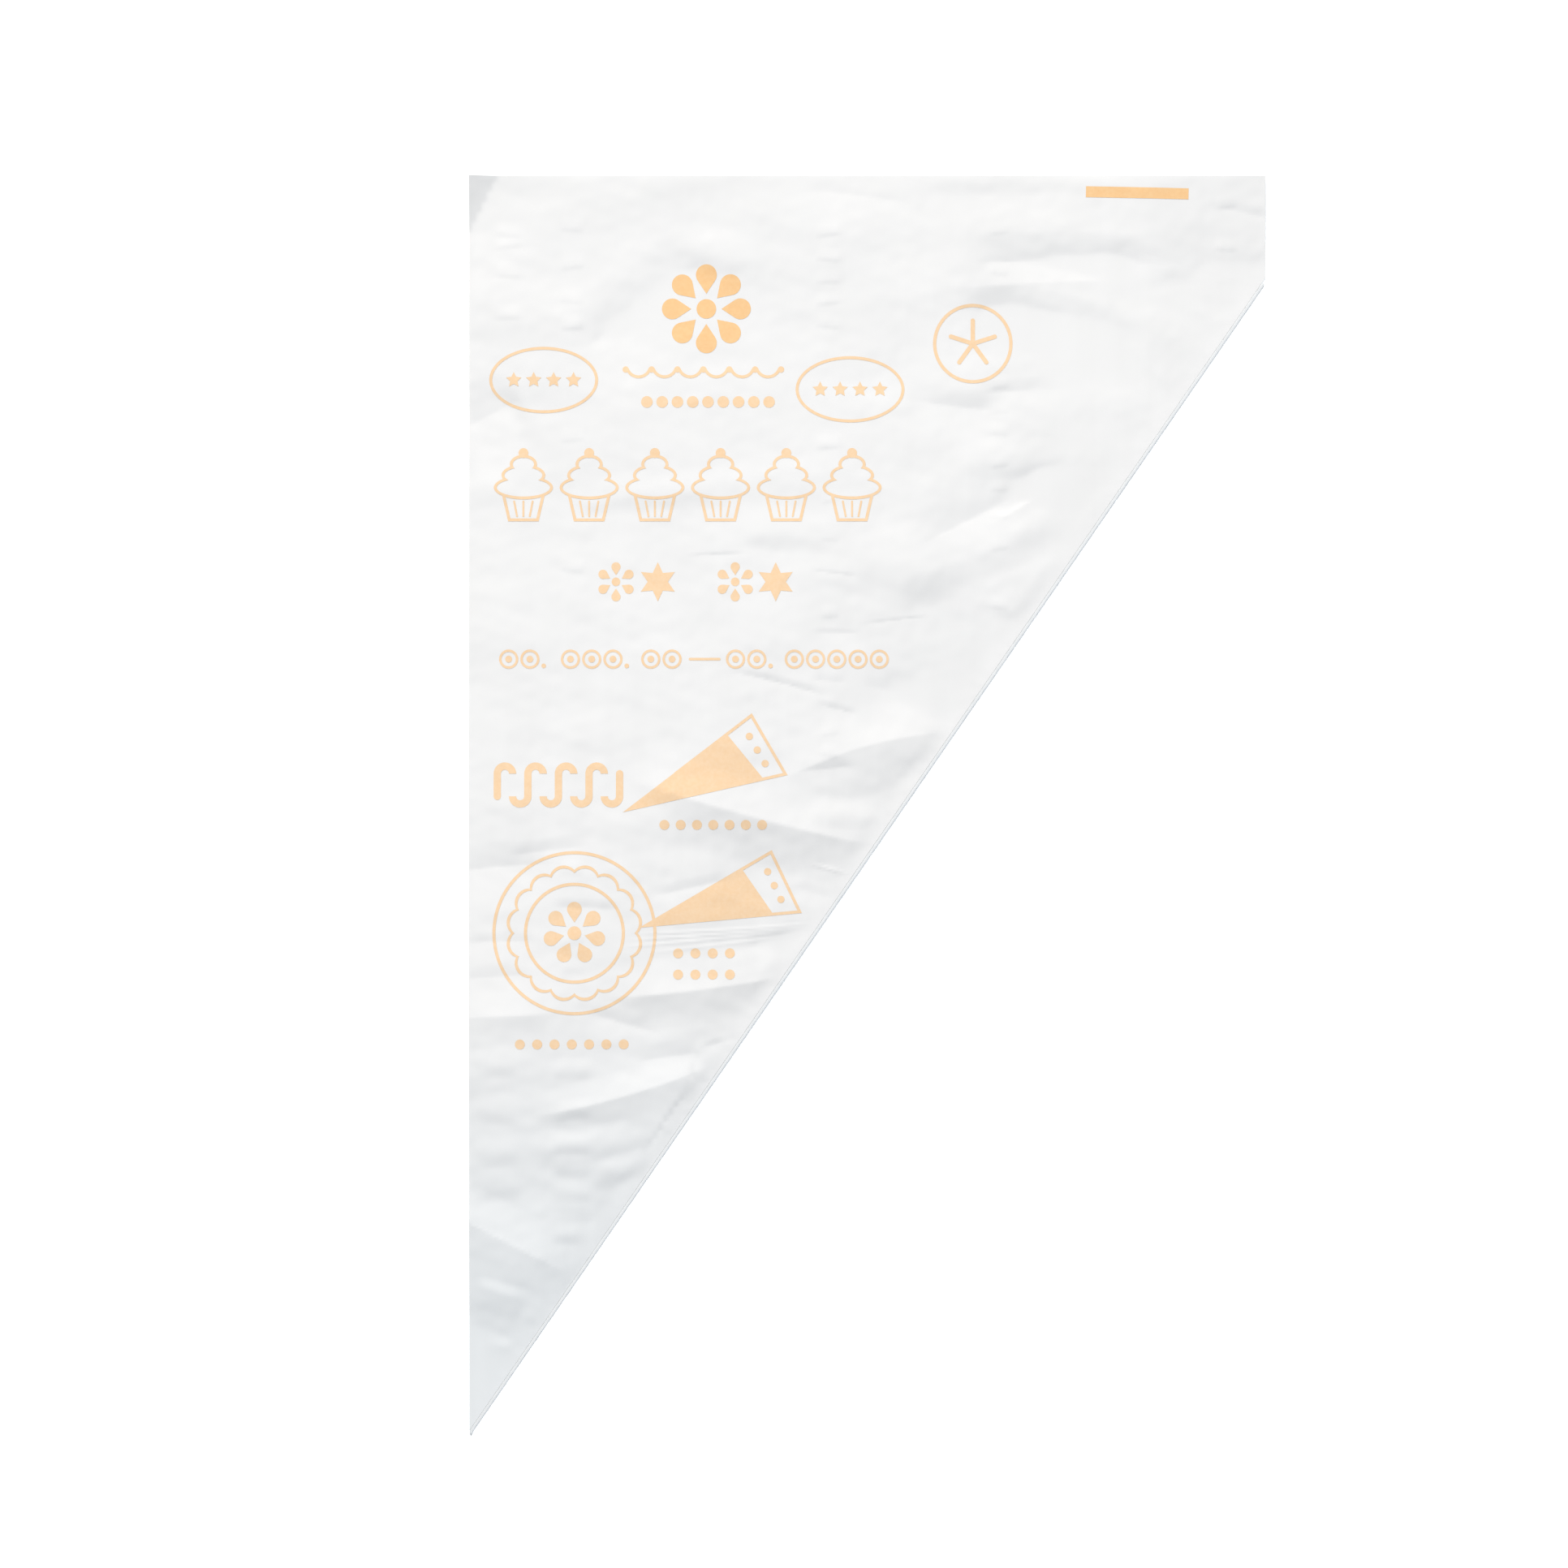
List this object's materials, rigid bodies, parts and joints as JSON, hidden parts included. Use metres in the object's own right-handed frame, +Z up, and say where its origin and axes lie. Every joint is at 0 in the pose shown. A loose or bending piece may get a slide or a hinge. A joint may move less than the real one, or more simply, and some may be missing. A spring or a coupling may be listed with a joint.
{
  "type": "piping bag",
  "caption": "Flat film piping bag: long folded side, slanted welded side, straight open mouth, printed front wall; it opens into a cone.",
  "frame": {"origin": "centre of the flat bag's outline, on the surface that it lies on", "axes": "+Z up out of the printed front wall, +Y towards the open mouth, along the long folded side, +X from the long folded side to the short one"},
  "size_m": [0.24, 0.38, 0.0006],
  "materials": {
    "film": "soft satin polyethylene film, slightly milky",
    "weld": "fused polyethylene bead",
    "orange_ink": "thin light orange print"
  },
  "bodies": {
    "back_right": {"back_right_wall": "film", "slant_weld": "weld"},
    "back_left": {"back_left_wall": "film"},
    "back_corner": {"back_corner_wall": "film"},
    "front_right": {"front_right_wall": "film", "cake_roundel_right": "orange_ink", "cupcake_banner_right": "orange_ink", "headline_right": "orange_ink", "icon_row_right": "orange_ink", "lower_caption_right": "orange_ink", "lower_cone": "orange_ink", "reuse_badge": "orange_ink", "side_caption": "orange_ink", "size_ring": "orange_ink", "upper_caption": "orange_ink", "upper_cone_right": "orange_ink"},
    "front_left": {"front_left_wall": "film", "bead_row": "orange_ink", "cake_roundel_left": "orange_ink", "clean_badge": "orange_ink", "cupcake_banner_left": "orange_ink", "flower_emblem": "orange_ink", "headline_left": "orange_ink", "icon_row_left": "orange_ink", "lower_caption_left": "orange_ink", "piped_wave": "orange_ink", "swag_border": "orange_ink", "upper_cone_left": "orange_ink"},
    "front_corner": {"front_corner_wall": "film", "mouth_bar": "orange_ink"}
  },
  "joints": [
    {"name": "mouth_opening", "type": "hinge", "parent": "back_right", "child": "front_right", "pos_m": [-0.12, -0.18824, 0.0003], "axis": [0.5683, 0.8228, 0], "range_deg": [0, 60]},
    {"name": "front_centre_crease", "type": "hinge", "parent": "front_right", "child": "front_left", "pos_m": [-0.12, -0.18824, 0.0003], "axis": [-0.2976, -0.9547, 0], "range_deg": [0, 57.7]},
    {"name": "back_centre_crease", "type": "hinge", "parent": "back_right", "child": "back_left", "pos_m": [-0.12, -0.18824, 0.0003], "axis": [0.2976, 0.9547, 0], "range_deg": [0, 57.7]},
    {"name": "front_corner_crease", "type": "hinge", "parent": "front_right", "child": "front_corner", "pos_m": [0.12, 0.15926, 0.0003], "axis": [-0.9547, 0.2976, 0], "range_deg": [0, 19.2]},
    {"name": "back_corner_crease", "type": "hinge", "parent": "back_right", "child": "back_corner", "pos_m": [0.12, 0.15926, 0.0003], "axis": [0.9547, -0.2976, 0], "range_deg": [0, 19.2]}
  ],
  "couplings": [
    {"joint": "front_centre_crease", "follows": "mouth_opening", "ratio": 0.96},
    {"joint": "back_centre_crease", "follows": "mouth_opening", "ratio": 0.96},
    {"joint": "front_corner_crease", "follows": "mouth_opening", "ratio": 0.318},
    {"joint": "back_corner_crease", "follows": "mouth_opening", "ratio": 0.318}
  ]
}
